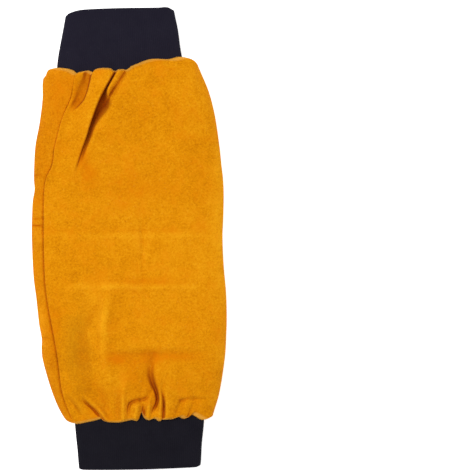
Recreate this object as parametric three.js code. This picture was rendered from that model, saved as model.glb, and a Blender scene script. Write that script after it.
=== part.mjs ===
// A welder's arm sleeve, lying flat on a table: a tube of suede leather gathered into a knit cuff at each end.
// The leather is a front and a back panel, sewn together inside along two seams. The cuffs are knit cloth,
// folded double, with the fold at the free end, and the leather's edge is turned under and sewn round them.
// Units are millimetres. +X runs across the sleeve, +Y from the wrist up the arm and +Z up from the table.
// The origin is on the table, under the middle of the sleeve's box.
import * as THREE from "three";

// Leather tube
const leatherLength = 353.5; // between the two cuff seams
const leatherWidth = 193; // widest outline as it lies
const leatherWall = 1.5;
const crownHeight = 31; // of the front panel at its fullest
const sideHeight = 11; // of the fold that runs down each side
const edgeRound = 4; // bend where the gathered leather turns in to a cuff
const seatDepth = 7; // turned-in leather that lies on a cuff
const edgeSway = 9; // how far the gathered edge strays from the cuff seam

// Long seams
const seamInset = 29; // front seam's largest distance from the left outline
const backSeamInset = 19.2; // back seam's distance from the right outline, on the underside
const seamAllowance = 6; // turned-in leather inside each panel's long edges
const seamGap = 0.4; // between the two panels
const seamTurn = 0.45; // length over which a panel's edge turns in, beyond its wall
const seamGroove = 1.1; // dip of the leather at a seam

// Knit cuffs
const knitWall = 2.6; // two layers
const cuffTuck = 19; // knit inside the leather, from the seam inwards
const cuffRise = 3.6; // of a cuff's underside above the table at its seam
const cuffHeight = 15.5;
const sewingGap = 0.5; // between knit and leather
const armCuff = { length: 58, seamWidth: 126, endWidth: 107.5, shift: -9.5 };
const wristCuff = { length: 49.5, seamWidth: 129.5, endWidth: 121, shift: 10.2 };

// Folds of the front panel
const foldHeight = 8;
const foldWidth = 10;
const foldEndShare = 0.25; // of its height that a fold keeps at its ends
const foldTaper = 0.125; // share of its length over which it falls to that

// Fineness of the mesh
const frontColumns = 40;
const backColumns = 23;
const cuffColumns = 38;
const middleRows = 13;
const soundings = 160; // points along a panel's section that its length is measured with
const foldSteps = 6; // straight pieces that stand for a fold's curve

const halfWidth = leatherWidth / 2;
const totalLength = wristCuff.length + leatherLength + armCuff.length;
const wristSeamY = wristCuff.length - totalLength / 2;
const armSeamY = wristSeamY + leatherLength;

// Sections of the leather, from the wrist edge (along 0) to the upper-arm edge (1).
// left, right: outline, in half widths. crown: in crown heights. inset: of the front seam, in seam insets.
const leatherSections = [
  { along: 0.0, left: -0.61, right: 0.85, crown: 0.78, inset: 0.06 },
  { along: 0.02, left: -0.665, right: 0.872, crown: 0.8, inset: 0.13 },
  { along: 0.06, left: -0.748, right: 0.905, crown: 0.86, inset: 0.21 },
  { along: 0.12, left: -0.835, right: 0.945, crown: 0.97, inset: 0.39 },
  { along: 0.18, left: -0.892, right: 0.974, crown: 1.0, inset: 0.48 },
  { along: 0.26, left: -0.917, right: 1.0, crown: 0.93, inset: 0.37 },
  { along: 0.34, left: -0.948, right: 0.995, crown: 0.85, inset: 0.31 },
  { along: 0.43, left: -0.982, right: 0.97, crown: 0.8, inset: 0.33 },
  { along: 0.52, left: -1.0, right: 0.956, crown: 0.78, inset: 0.38 },
  { along: 0.62, left: -0.995, right: 0.965, crown: 0.8, inset: 0.38 },
  { along: 0.7, left: -0.978, right: 0.942, crown: 0.86, inset: 0.5 },
  { along: 0.77, left: -0.965, right: 0.925, crown: 0.93, inset: 0.63 },
  { along: 0.84, left: -0.927, right: 0.893, crown: 0.98, inset: 0.72 },
  { along: 0.91, left: -0.89, right: 0.838, crown: 0.98, inset: 0.93 },
  { along: 0.97, left: -0.882, right: 0.752, crown: 0.92, inset: 1.0 },
  { along: 1.0, left: -0.862, right: 0.655, crown: 0.86, inset: 1.0 },
];

// The gathered edges, seen from above. across: in half widths. front, back: towards +Y, in edge sways.
const armEdge = [
  { across: -0.86, front: -0.5, back: -0.1 },
  { across: -0.7, front: -0.34, back: 0.1 },
  { across: -0.56, front: -0.7, back: -0.15 },
  { across: -0.46, front: -0.5, back: 0.05 },
  { across: -0.38, front: -0.72, back: 0.2 },
  { across: -0.26, front: -0.28, back: 0.05 },
  { across: -0.15, front: -0.52, back: 0.25 },
  { across: 0.0, front: -0.25, back: 0.1 },
  { across: 0.08, front: 0.35, back: 0.25 },
  { across: 0.22, front: 0.78, back: 0.4 },
  { across: 0.42, front: 0.8, back: 0.5 },
  { across: 0.65, front: 0.85, back: 0.75 },
];
const wristEdge = [
  { across: -0.61, front: -0.28, back: -0.2 },
  { across: -0.45, front: -0.2, back: 0.0 },
  { across: -0.31, front: 0.08, back: -0.2 },
  { across: -0.25, front: -0.2, back: -0.1 },
  { across: -0.05, front: -0.16, back: 0.1 },
  { across: 0.12, front: 0.36, back: -0.1 },
  { across: 0.22, front: -0.04, back: 0.05 },
  { across: 0.36, front: 0.02, back: -0.1 },
  { across: 0.55, front: 0.14, back: 0.1 },
  { across: 0.69, front: 0.36, back: -0.05 },
  { across: 0.85, front: 0.16, back: 0.1 },
];

// Main folds of the front panel, each along a curve through three points.
// x: in half widths from the middle. a: share of the leather's length from the wrist edge.
// lift: in fold heights, up or down. left, right: in fold widths, seen looking along the fold from x0, a0.
const frontFolds = [
  { x0: -0.43, a0: 0.985, x1: -0.46, a1: 0.92, x2: -0.62, a2: 0.875, lift: -0.6, left: 0.4, right: 0.4 },
  { x0: -0.27, a0: 1.0, x1: -0.36, a1: 0.89, x2: -0.58, a2: 0.72, lift: 0.5, left: 0.8, right: 0.8 },
  { x0: -0.14, a0: 0.99, x1: -0.25, a1: 0.895, x2: -0.56, a2: 0.69, lift: -1.35, left: 0.5, right: 0.45 },
  { x0: 0.06, a0: 1.0, x1: -0.13, a1: 0.92, x2: -0.36, a2: 0.79, lift: 0.35, left: 1.1, right: 0.7 },
  { x0: -0.47, a0: 0.05, x1: -0.38, a1: 0.03, x2: -0.3, a2: 0.0, lift: -0.6, left: 0.35, right: 0.35 },
  { x0: -0.42, a0: 0.06, x1: -0.34, a1: 0.03, x2: -0.24, a2: 0.0, lift: 0.4, left: 0.5, right: 0.5 },
  { x0: -0.07, a0: 0.1, x1: -0.07, a1: 0.05, x2: -0.08, a2: 0.0, lift: 0.35, left: 0.35, right: 0.4 },
  { x0: 0.14, a0: 0.06, x1: 0.13, a1: 0.03, x2: 0.12, a2: 0.0, lift: -0.7, left: 0.35, right: 0.35 },
  { x0: 0.24, a0: 0.18, x1: 0.2, a1: 0.12, x2: 0.26, a2: 0.01, lift: -0.9, left: 0.45, right: 0.4 },
  { x0: 0.34, a0: 0.08, x1: 0.35, a1: 0.04, x2: 0.36, a2: 0.0, lift: -0.5, left: 0.35, right: 0.35 },
  { x0: -0.24, a0: 0.39, x1: -0.3, a1: 0.26, x2: -0.2, a2: 0.08, lift: 0.3, left: 0.6, right: 0.7 },
  { x0: -0.34, a0: 0.34, x1: -0.5, a1: 0.2, x2: -0.26, a2: 0.05, lift: -0.5, left: 1.3, right: 1.0 },
  { x0: -0.2, a0: 0.18, x1: 0.2, a1: 0.19, x2: 0.8, a2: 0.17, lift: -0.2, left: 0.6, right: 0.6 },
];

// Even gathers of the back panel at each end
const backGathers = { arm: 7, wrist: 9, height: 3, reach: 42 };

// Value of a table's column at a place along it, on a smooth curve through its rows.
function follow(table, place, column, at) {
  const last = table.length - 1;
  const value = THREE.MathUtils.clamp(at, table[0][place], table[last][place]);
  let k = 0;
  while (k < last - 1 && value > table[k + 1][place]) k += 1;
  const span = table[k + 1][place] - table[k][place];
  const slope = (i) => {
    const before = table[Math.max(i - 1, 0)];
    const after = table[Math.min(i + 1, last)];
    return (after[column] - before[column]) / (after[place] - before[place]);
  };
  const t = (value - table[k][place]) / span;
  const rest = 1 - t;
  return (
    table[k][column] * rest * rest * (1 + 2 * t) +
    table[k + 1][column] * t * t * (3 - 2 * t) +
    slope(k) * span * t * rest * rest -
    slope(k + 1) * span * t * t * rest
  );
}

// Outline of a flattened tube. turn 0 is its left side, 1 the top, 2 the right side and 3 the underside.
const topFullness = 2.6;
const baseFullness = 4.5;
const flatBase = 1.03; // above 1, the underside is a true flat in the middle
function flattenedRing(shape, turn) {
  const angle = Math.PI * (1 - turn / 2);
  const onTop = turn <= 2;
  const power = 2 / (onTop ? topFullness : baseFullness);
  const across = Math.sign(Math.cos(angle)) * Math.abs(Math.cos(angle)) ** power;
  const rise = Math.abs(Math.sin(angle)) ** power;
  const height = onTop
    ? shape.side + (shape.crown - shape.side) * rise
    : shape.side - (shape.side - shape.base) * Math.min(1, rise * flatBase);
  const middle = (shape.left + shape.right) / 2;
  return [middle + ((shape.right - shape.left) / 2) * across, height];
}

// The turn at which a ring is a given distance in from its left side on top, or its right side below.
function turnAtInset(shape, inset, onTop) {
  const share = 1 - inset / ((shape.right - shape.left) / 2);
  const fullness = onTop ? topFullness : baseFullness;
  const angle = Math.acos(Math.max(share, 0) ** (fullness / 2));
  return onTop ? (2 * angle) / Math.PI : 2 + (2 * angle) / Math.PI;
}

// Section of a cuff, at a distance out from its seam. Inside the leather the distance is negative.
function cuffShape(cuff, outward) {
  const share = THREE.MathUtils.clamp(outward / cuff.length, 0, 1);
  const half = THREE.MathUtils.lerp(cuff.seamWidth, cuff.endWidth, share) / 2;
  const base = cuffRise * (1 - share);
  return {
    left: cuff.shift - half,
    right: cuff.shift + half,
    side: base + cuffHeight / 2,
    crown: base + cuffHeight,
    base,
  };
}

function grown(shape, by) {
  return {
    left: shape.left - by,
    right: shape.right + by,
    side: shape.side,
    crown: shape.crown + by,
    base: shape.base - by,
  };
}

function leatherShape(along) {
  const at = (column) => follow(leatherSections, "along", column, along);
  return {
    left: halfWidth * at("left"),
    right: halfWidth * at("right"),
    side: sideHeight,
    crown: crownHeight * at("crown"),
    base: 0,
  };
}

// Signed side and share along, of the nearest place on a fold's curve.
function placeOnFold(fold, x, y) {
  const control = (k) =>
    new THREE.Vector2(fold["x" + k] * halfWidth, wristSeamY + fold["a" + k] * leatherLength);
  const curve = new THREE.QuadraticBezierCurve(control(0), control(1), control(2));
  const point = new THREE.Vector2(x, y);
  let best = { distance: Infinity };
  for (let k = 0; k < foldSteps; k += 1) {
    const from = curve.getPoint(k / foldSteps);
    const step = curve.getPoint((k + 1) / foldSteps).sub(from);
    const offset = point.clone().sub(from);
    const share = THREE.MathUtils.clamp(offset.dot(step) / step.lengthSq(), 0, 1);
    const distance = offset.clone().addScaledVector(step, -share).length();
    if (distance < best.distance) {
      best = { distance, isLeft: step.cross(offset) > 0, along: (k + share) / foldSteps };
    }
  }
  return best;
}

// Height that the folds add to the front panel.
function foldLift(x, y) {
  let lift = 0;
  for (const fold of frontFolds) {
    const place = placeOnFold(fold, x, y);
    const width = foldWidth * (place.isLeft ? fold.left : fold.right);
    const fromEnd = Math.min(place.along, 1 - place.along);
    const fade = Math.min(1, foldEndShare + fromEnd / foldTaper);
    lift += foldHeight * fold.lift * fade * Math.exp(-((place.distance / width) ** 2));
  }
  return lift;
}

// Height that the even gathers add to the underside.
function gatherLift(turn, fromWrist, fromArm) {
  const wave = (count) => (1 - Math.cos(Math.PI * count * (turn - 2))) / 2;
  const fade = (distance) => Math.max(0, 1 - distance / backGathers.reach) ** 2;
  return (
    backGathers.height *
    (wave(backGathers.wrist) * fade(fromWrist) + wave(backGathers.arm) * fade(fromArm))
  );
}

// The larger of two heights, with a soft bend where they cross.
const softBend = 1.5;
function softMax(a, b) {
  return (a + b + Math.hypot(a - b, softBend)) / 2;
}

// A place on the outside of the leather: turn is round the tube, along runs from the wrist edge to the arm edge.
function leatherPoint(turn, along) {
  const onTop = turn <= 2;
  const facing = Math.sin((Math.PI * (onTop ? turn : turn - 2)) / 2);
  const frontShare = (1 + (onTop ? facing : -facing)) / 2;
  let [x, z] = flattenedRing(leatherShape(along), turn);
  const swayAt = (edge) =>
    THREE.MathUtils.lerp(
      follow(edge, "across", "back", x / halfWidth),
      follow(edge, "across", "front", x / halfWidth),
      frontShare,
    );
  const sway = THREE.MathUtils.lerp(swayAt(wristEdge), swayAt(armEdge), along);
  const y = THREE.MathUtils.lerp(wristSeamY, armSeamY, along) + edgeSway * sway;
  const fromWrist = along * leatherLength;
  const fromArm = leatherLength - fromWrist;
  z += facing * (onTop ? foldLift(x, y) : gatherLift(turn, fromWrist, fromArm));

  // Near a cuff the leather lies on it and, at the very edge, bends in to it.
  const nearWrist = fromWrist < fromArm;
  const fromEdge = Math.min(fromWrist, fromArm);
  const cuff = nearWrist ? wristCuff : armCuff;
  const outward = nearWrist ? wristSeamY - y : y - armSeamY;
  const knit = cuffShape(cuff, outward);
  if (onTop && fromEdge < cuffTuck + edgeRound) {
    const cleared = knit.crown + sewingGap + leatherWall + softBend / 2;
    const [, knitTop] = flattenedRing({ ...knit, crown: cleared }, turn);
    z = softMax(z, knitTop);
  }
  const seat = flattenedRing(grown(knit, sewingGap), turn);
  const round = Math.sqrt(1 - Math.max(0, 1 - fromEdge / edgeRound) ** 2);
  return new THREE.Vector3(
    THREE.MathUtils.lerp(seat[0], x, round),
    y,
    THREE.MathUtils.lerp(seat[1], z, round),
  );
}

// A place on the turned-in leather, which lies on a cuff.
function seatPoint(turn, along, depth) {
  const edge = leatherPoint(turn, along < 0.5 ? 0 : 1);
  const nearWrist = along < 0.5;
  const y = edge.y + (nearWrist ? depth : -depth);
  const outward = nearWrist ? wristSeamY - y : y - armSeamY;
  const [x, z] = flattenedRing(grown(cuffShape(nearWrist ? wristCuff : armCuff, outward), sewingGap), turn);
  return new THREE.Vector3(x, y, z);
}

// Distances from a leather edge of its closely spaced rows, and of the turned-in leather below each.
const edgeRows = [
  { out: 0, seat: 0.3 },
  { out: 0.3, seat: 0.65 },
  { out: 1, seat: 1 },
];
const nearRows = [2.2, 3.8, 5.8, 8.2, 11]; // in edge rounds

// Rows of a panel, each a share of the leather's length.
function panelRows() {
  const close = [
    ...edgeRows.map((row) => ({ along: (row.out * edgeRound) / leatherLength, seat: row.seat * seatDepth })),
    ...nearRows.map((rounds) => ({ along: (rounds * edgeRound) / leatherLength })),
  ];
  const start = close[close.length - 1].along;
  const middle = [];
  for (let k = 1; k < middleRows; k += 1) {
    middle.push({ along: THREE.MathUtils.lerp(start, 1 - start, k / middleRows) });
  }
  const far = close.map((row) => ({ ...row, along: 1 - row.along })).reverse();
  return [...close, ...middle, ...far];
}

// Turns of a panel's columns at one row: even steps between the seams, closer in a bend, and three beside each seam.
const bendShare = 9; // length that a bend of one radian counts as
function panelTurns(along, isFront) {
  const shape = leatherShape(along);
  const inset = seamInset * follow(leatherSections, "along", "inset", along);
  const frontSeam = turnAtInset(shape, inset, true);
  const backSeam = turnAtInset(shape, backSeamInset, false);
  const [from, to] = isFront ? [frontSeam, backSeam] : [backSeam, 4 + frontSeam];
  const turns = [from];
  const lengths = [0];
  let before = new THREE.Vector2(...flattenedRing(shape, from));
  let heading;
  for (let k = 1; k <= soundings; k += 1) {
    const turn = THREE.MathUtils.lerp(from, to, k / soundings);
    const here = new THREE.Vector2(...flattenedRing(shape, turn % 4));
    const step = here.clone().sub(before);
    const bend = heading ? step.angleTo(heading) : 0;
    turns.push(turn);
    lengths.push(lengths[k - 1] + step.length() + bendShare * bend);
    before = here;
    heading = step;
  }
  const total = lengths[soundings];
  const turnAtLength = (length) => {
    let k = 0;
    while (k < soundings - 1 && lengths[k + 1] < length) k += 1;
    const share = (length - lengths[k]) / (lengths[k + 1] - lengths[k]);
    return THREE.MathUtils.lerp(turns[k], turns[k + 1], share);
  };
  const edge = seamGap / 2;
  const side = [edge, edge + leatherWall, edge + leatherWall + seamTurn];
  const places = [...side];
  const columns = isFront ? frontColumns : backColumns;
  for (let k = 1; k < columns; k += 1) {
    places.push(THREE.MathUtils.lerp(side[2], total - side[2], k / columns));
  }
  places.push(...side.map((place) => total - place).reverse());
  return { turns: places.map(turnAtLength), seams: [from, to] };
}

// Outward direction of the leather at a place.
const feeler = 0.004;
function outwardAt(turn, along) {
  const place = (dTurn, dAlong) => leatherPoint((turn + dTurn + 4) % 4, THREE.MathUtils.clamp(along + dAlong, 0, 1));
  const across = place(feeler, 0).sub(place(-feeler, 0));
  const up = place(0, feeler).sub(place(0, -feeler));
  return across.cross(up).normalize();
}

// A closed solid between two grids of points, outer[row][column] and inner[row][column].
// A sheet is closed by its four rims. A tube's last column joins its first.
function thickGrid(outer, inner, isTube) {
  const rows = outer.length;
  const columns = outer[0].length;
  const points = [...outer.flat(), ...inner.flat()];
  const out = (r, c) => r * columns + (c % columns);
  const into = (r, c) => rows * columns + out(r, c);
  const faces = [];
  const quad = (a, b, c, d) => faces.push(a, b, c, a, c, d);
  const steps = isTube ? columns : columns - 1;
  for (let c = 0; c < steps; c += 1) {
    for (let r = 0; r < rows - 1; r += 1) {
      quad(out(r, c), out(r, c + 1), out(r + 1, c + 1), out(r + 1, c));
      quad(into(r, c), into(r + 1, c), into(r + 1, c + 1), into(r, c + 1));
    }
    quad(into(0, c), into(0, c + 1), out(0, c + 1), out(0, c));
    quad(out(rows - 1, c), out(rows - 1, c + 1), into(rows - 1, c + 1), into(rows - 1, c));
  }
  for (let r = 0; r < rows - 1 && !isTube; r += 1) {
    quad(into(r, 0), out(r, 0), out(r + 1, 0), into(r + 1, 0));
    quad(into(r, columns - 1), into(r + 1, columns - 1), out(r + 1, columns - 1), out(r, columns - 1));
  }
  const geometry = new THREE.BufferGeometry().setFromPoints(points).setIndex(faces);
  geometry.computeVertexNormals();
  return geometry;
}

// A leather panel between its two seams. Beside a seam its edge dips and turns in as an allowance.
function panelGeometry(isFront) {
  const outer = [];
  const inner = [];
  for (const row of panelRows()) {
    const { turns, seams } = panelTurns(row.along, isFront);
    const onSeat = row.seat !== undefined;
    const fromCuff = (Math.min(row.along, 1 - row.along) * leatherLength - cuffTuck) / cuffTuck;
    const allowance = leatherWall + (seamAllowance - leatherWall) * THREE.MathUtils.clamp(fromCuff, 0, 1);
    const outerRow = [];
    const innerRow = [];
    turns.forEach((turn, c) => {
      const fromSeam = Math.min(c, turns.length - 1 - c);
      const place = leatherPoint(turn % 4, row.along);
      const seam = seams[c < turns.length / 2 ? 0 : 1];
      const outward = outwardAt((fromSeam < 2 ? seam : turn) % 4, row.along);
      const depth = fromSeam < 2 ? allowance : leatherWall;
      const dip = fromSeam === 0 && !onSeat ? seamGroove : 0;
      outerRow.push(place.clone().addScaledVector(outward, -dip));
      innerRow.push(
        onSeat ? seatPoint(turn % 4, row.along, row.seat) : place.clone().addScaledVector(outward, -depth),
      );
    });
    outer.push(outerRow);
    inner.push(innerRow);
  }
  return thickGrid(outer, inner, false);
}

// How far a cuff's fold stops short of its full length. across: in half widths of the cuff. short: in corner drops.
const cornerDrop = 6;
const armCuffFold = [
  { across: -1, short: 1 },
  { across: -0.93, short: 0.55 },
  { across: -0.6, short: 0.25 },
  { across: 0, short: 0.12 },
  { across: 0.6, short: 0.02 },
  { across: 0.85, short: 0.05 },
  { across: 1, short: 0.45 },
];
const wristCuffFold = [
  { across: -1, short: 0.05 },
  { across: -0.9, short: 0 },
  { across: 0, short: 0.12 },
  { across: 0.9, short: 0.45 },
  { across: 1, short: 0.6 },
];

// Rows of a cuff from its tucked end to its fold. out: share of the free length. inset: of each face, in walls.
const cuffRows = [
  { tuck: 1, out: 0, inset: 0 },
  { tuck: 0, out: 0, inset: 0 },
  { tuck: 0, out: 0.5, inset: 0 },
  { tuck: 0, out: 1, back: 0.45, inset: 0 },
  { tuck: 0, out: 1, back: 0, inset: 0.28 },
];

// A knit cuff: a tapered flattened tube whose free end is the round fold of the cloth.
function cuffGeometry(cuff, fold, seamY, direction) {
  const outer = [];
  const inner = [];
  for (const row of cuffRows) {
    const outerRow = [];
    const innerRow = [];
    for (let c = 0; c < cuffColumns; c += 1) {
      const turn = (4 * (direction > 0 ? c : cuffColumns - c)) / cuffColumns;
      const [x] = flattenedRing(cuffShape(cuff, cuff.length), turn);
      const across = (x - cuff.shift) / (cuff.endWidth / 2);
      const free = cuff.length - cornerDrop * follow(fold, "across", "short", across);
      const outward = row.out * free - row.tuck * cuffTuck - (row.back ?? 0) * knitWall;
      const shape = cuffShape(cuff, outward);
      const place = (inset) => {
        const [px, pz] = flattenedRing(grown(shape, -inset), turn);
        return new THREE.Vector3(px, seamY + direction * outward, pz);
      };
      outerRow.push(place(row.inset * knitWall));
      innerRow.push(place((1 - row.inset) * knitWall));
    }
    outer.push(outerRow);
    inner.push(innerRow);
  }
  return thickGrid(outer, inner, true);
}

const frontLeather = new THREE.MeshStandardMaterial({ color: 0xe28a07, roughness: 0.95, metalness: 0 });
const backLeather = new THREE.MeshStandardMaterial({ color: 0xe38508, roughness: 0.95, metalness: 0 });
const navyKnit = new THREE.MeshStandardMaterial({ color: 0x24222d, roughness: 0.9, metalness: 0 });

const sleeve = new THREE.Group();
function addPiece(name, geometry, material) {
  const piece = new THREE.Mesh(geometry, material);
  piece.name = name;
  sleeve.add(piece);
}
addPiece("front_panel", panelGeometry(true), frontLeather);
addPiece("back_panel", panelGeometry(false), backLeather);
addPiece("arm_cuff", cuffGeometry(armCuff, armCuffFold, armSeamY, 1), navyKnit);
addPiece("wrist_cuff", cuffGeometry(wristCuff, wristCuffFold, wristSeamY, -1), navyKnit);

export default sleeve;
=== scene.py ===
import math

import bmesh
import bpy
import mathutils
import numpy as np
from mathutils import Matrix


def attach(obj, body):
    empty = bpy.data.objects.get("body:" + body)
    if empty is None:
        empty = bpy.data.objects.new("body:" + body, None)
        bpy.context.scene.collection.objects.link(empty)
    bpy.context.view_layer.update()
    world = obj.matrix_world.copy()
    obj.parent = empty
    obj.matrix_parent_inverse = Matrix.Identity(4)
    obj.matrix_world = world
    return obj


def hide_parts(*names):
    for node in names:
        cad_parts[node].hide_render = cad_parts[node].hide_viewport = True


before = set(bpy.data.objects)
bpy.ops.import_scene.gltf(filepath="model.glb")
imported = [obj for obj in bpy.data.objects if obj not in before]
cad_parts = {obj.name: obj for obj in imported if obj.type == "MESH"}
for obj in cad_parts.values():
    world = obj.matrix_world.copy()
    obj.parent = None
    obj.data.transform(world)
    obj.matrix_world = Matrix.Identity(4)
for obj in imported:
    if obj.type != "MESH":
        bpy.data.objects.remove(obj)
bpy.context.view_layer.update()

# Knit cuffs
# Each cuff is a tube of very fine navy rib knit, folded double with the fold at its free end. Its two raw
# edges are sewn inside the gathered leather. It lies flattened, and tapers because the knit draws in.
mm = 0.001
cuff_wall = 2.6 * mm  # over both layers
cuff_cloth = 1.1 * mm
cuff_tuck = 19 * mm  # how far it reaches in under the leather
cuff_rise = 3.6 * mm  # how far the leather lifts its sewn end off the table
cuff_height = 15.5 * mm
cuff_quarter = 30 * mm
cuff_sag = {"depth": 0.5 * mm, "wavelength": 38 * mm, "starts_over": 8 * mm}
rib_pitch = 2.0 * mm
rib_height = 0.2 * mm
rib_columns = 4
cloth_rows = 16
fold_rows = 9
stitch_pitch = 1.3 * mm
navy_yarn = (0.0095, 0.008, 0.0165, 1)
navy_lint_and_highlight = (0.026, 0.024, 0.037, 1)
dark_navy_yarn = (0.0065, 0.0057, 0.0095, 1)
dark_navy_lint_and_highlight = (0.019, 0.018, 0.025, 1)
# How full a flattened tube's section is, where 2 is an ellipse, and how much of its base lies flat.
top_fullness = 2.6
base_fullness = 4.5
flat_base = 1.03
arm_seam_y = 172.5 * mm
wrist_seam_y = -181.0 * mm
arm_cuff = {"length": 58 * mm, "seam": 125.4 * mm, "end": 106.2 * mm, "shift": -8.8 * mm}
wrist_cuff = {"length": 49.5 * mm, "seam": 128.6 * mm, "end": 120.2 * mm, "shift": 10.3 * mm}
# How far the fold stops short of the cuff's full length, at places across it from -1 to 1.
arm_cuff_fold = [
    (-1, 8.4), (-0.96, 6.2), (-0.8, 3.4), (-0.6, 2.3), (-0.07, 1.3), (0.73, 0.6), (0.9, 0.1), (1, 2.6),
]
wrist_cuff_fold = [(-1, 0.8), (-0.93, 0.1), (0, 0.7), (0.9, 2.6), (0.96, 3.0), (1, 4.2)]


def smooth(points, at):
    """Values on a smooth curve through (place, value) points, held beyond its ends."""
    place, value = np.array(points, float).T
    slope = np.empty_like(value)
    slope[1:-1] = (value[2:] - value[:-2]) / (place[2:] - place[:-2])
    slope[0] = (value[1] - value[0]) / (place[1] - place[0])
    slope[-1] = (value[-1] - value[-2]) / (place[-1] - place[-2])
    k = np.clip(np.searchsorted(place, at) - 1, 0, len(place) - 2)
    span = place[k + 1] - place[k]
    t = np.clip((at - place[k]) / span, 0, 1)
    rest = 1 - t
    ends = value[k] * rest**2 * (1 + 2 * t) + value[k + 1] * t**2 * (3 - 2 * t)
    return ends + slope[k] * span * t * rest**2 - slope[k + 1] * span * t**2 * rest


def flattened_ring(shape, turn):
    """Place across and height on a flattened tube: turn 0 is its left side, 1 its top and 3 its base."""
    left, right, side, crown, base = shape
    turn = np.mod(turn, 4)
    angle = np.pi * (1 - turn / 2)
    on_top = turn <= 2
    power = np.where(on_top, 2 / top_fullness, 2 / base_fullness)
    across = np.sign(np.cos(angle)) * np.abs(np.cos(angle)) ** power
    rise = np.abs(np.sin(angle)) ** power
    below = side - (side - base) * np.minimum(1, rise * flat_base)
    height = np.where(on_top, side + (crown - side) * rise, below)
    return (left + right) / 2 + (right - left) / 2 * across, height


def cuff_section(cuff, outward, grown=0.0):
    """Left, right, side height, crown and base of a cuff at a distance out from its seam."""
    share = np.clip(outward / cuff["length"], 0, 1)
    half = (cuff["seam"] + (cuff["end"] - cuff["seam"]) * share) / 2 + grown
    base = cuff_rise * (1 - share)
    middle = cuff["shift"]
    return middle - half, middle + half, base + cuff_height / 2, base + cuff_height + grown, base - grown


def ripples(x, y, wavelength, seed, waves=14):
    """Gentle random waves of about the given length, between about -1 and 1."""
    draw = np.random.default_rng(seed)
    total = np.zeros(np.broadcast(x, y).shape)
    for _ in range(waves):
        heading, phase = draw.uniform(0, 2 * np.pi, 2)
        reach = 2 * np.pi / (wavelength * draw.uniform(0.7, 1.5))
        total += np.sin(reach * (x * np.cos(heading) + y * np.sin(heading)) + phase)
    return total * math.sqrt(2 / waves) / 2


def cloth_grid(name, points, uv, attributes=(), closed=False):
    """A mesh of quads through points[row, column], with its UV map in metres and its points' values."""
    rows, columns = points.shape[:2]
    bm = bmesh.new()
    bmesh.ops.create_grid(bm, x_segments=columns - 1, y_segments=rows - 1, size=0.5)
    uv_layer = bm.loops.layers.uv.new("cloth")
    layers = [(bm.verts.layers.float.new(title), values) for title, values in attributes]
    places = {}
    for vertex in bm.verts:
        row = round((vertex.co.y + 0.5) * (rows - 1))
        column = round((vertex.co.x + 0.5) * (columns - 1))
        places[vertex] = (row, column)
    for vertex, place in places.items():
        vertex.co = points[place]
        for layer, values in layers:
            vertex[layer] = values[place]
    for face in bm.faces:
        face.smooth = True
        for loop in face.loops:
            loop[uv_layer].uv = uv[places[loop.vert]]
    if closed:
        bmesh.ops.remove_doubles(bm, verts=bm.verts, dist=0.001 * mm)
    mesh = bpy.data.meshes.new(name)
    bm.to_mesh(mesh)
    bm.free()
    piece = bpy.data.objects.new(name, mesh)
    bpy.context.scene.collection.objects.link(piece)
    return piece


def give_thickness(piece, thickness):
    """Gives a sheet its thickness, under the face that shows."""
    wall = piece.modifiers.new("thickness", "SOLIDIFY")
    wall.thickness = thickness
    wall.offset = -1
    wall.use_rim = True


def add_node(tree, kind, inputs=None, **settings):
    """Adds a node with its settings. An input that is a socket is linked, and any other value is set."""
    node = tree.nodes.new(kind)
    for name, value in settings.items():
        setattr(node, name, value)
    for name, value in (inputs or {}).items():
        if isinstance(value, bpy.types.NodeSocket):
            tree.links.new(value, node.inputs[name])
        else:
            node.inputs[name].default_value = value
    return node


def calculate(tree, operation, a, b=0.0, c=0.0):
    """A Math node's result."""
    return add_node(tree, "ShaderNodeMath", {0: a, 1: b, 2: c}, operation=operation).outputs[0]


def blend_colors(tree, share, a, b, kind="MIX"):
    """A Mix node's colour."""
    node = add_node(tree, "ShaderNodeMix", data_type="RGBA", blend_type=kind)
    for socket, value in ((node.inputs[0], share), (node.inputs[6], a), (node.inputs[7], b)):
        if isinstance(value, bpy.types.NodeSocket):
            tree.links.new(value, socket)
        else:
            socket.default_value = value
    return node.outputs[2]


def noise(tree, place, scale, detail=3.0, roughness=0.55, distortion=0.0):
    """A noise texture's value, about 0.5 on average."""
    inputs = {"Vector": place, "Scale": scale, "Detail": detail, "Roughness": roughness}
    inputs["Distortion"] = distortion
    return add_node(tree, "ShaderNodeTexNoise", inputs).outputs[0]


def ramp(tree, value, low, high, most=1.0):
    """A Map Range node's result, from 0 at the low value to the most at the high value and beyond."""
    inputs = {"Value": value, "From Min": low, "From Max": high, "To Max": most}
    return add_node(tree, "ShaderNodeMapRange", inputs, clamp=True).outputs[0]


def new_group(name, inputs, outputs):
    """A shader node group with named sockets, its input and output nodes ready."""
    group = bpy.data.node_groups.new(name, "ShaderNodeTree")
    for title, kind, value in inputs:
        socket = group.interface.new_socket(title, in_out="INPUT", socket_type=kind)
        socket.default_value = value
    for title, kind in outputs:
        group.interface.new_socket(title, in_out="OUTPUT", socket_type=kind)
    return group, group.nodes.new("NodeGroupInput"), group.nodes.new("NodeGroupOutput")


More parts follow.
